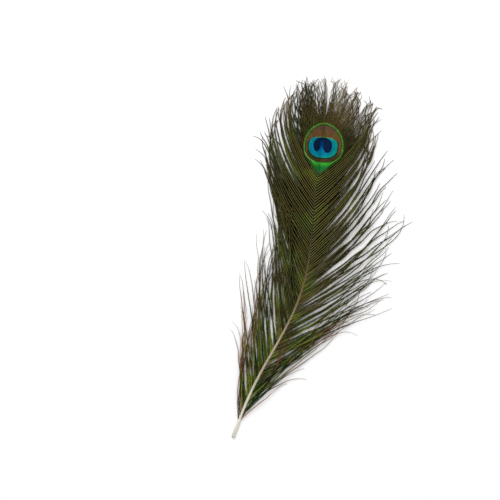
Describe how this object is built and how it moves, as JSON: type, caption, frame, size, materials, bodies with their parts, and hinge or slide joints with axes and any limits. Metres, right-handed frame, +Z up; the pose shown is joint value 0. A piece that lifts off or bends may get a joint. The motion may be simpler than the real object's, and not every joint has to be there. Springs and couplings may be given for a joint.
{
  "type": "peacock feather",
  "caption": "Trimmed peacock train feather lying face up: pale shaft, loose bronze-green barbs down both sides and a round eye at the tip.",
  "frame": {"origin": "on the flat underside of the shaft, 10 mm in from the cut lower end, in the plane the feather rests on", "axes": "+Y along the feather from the cut end to the middle of the eye, +Z up out of the face that shows the eye"},
  "size_m": [0.1398, 0.3023, 0.0041],
  "materials": {
    "barbs": "silky loose barbs, bronze to olive green",
    "eye": "close silky vane with a metallic sheen: bronze, green, blue and navy",
    "shaft": "smooth pale quill"
  },
  "bodies": {
    "root": {"feather": "barbs"}
  },
  "joints": []
}
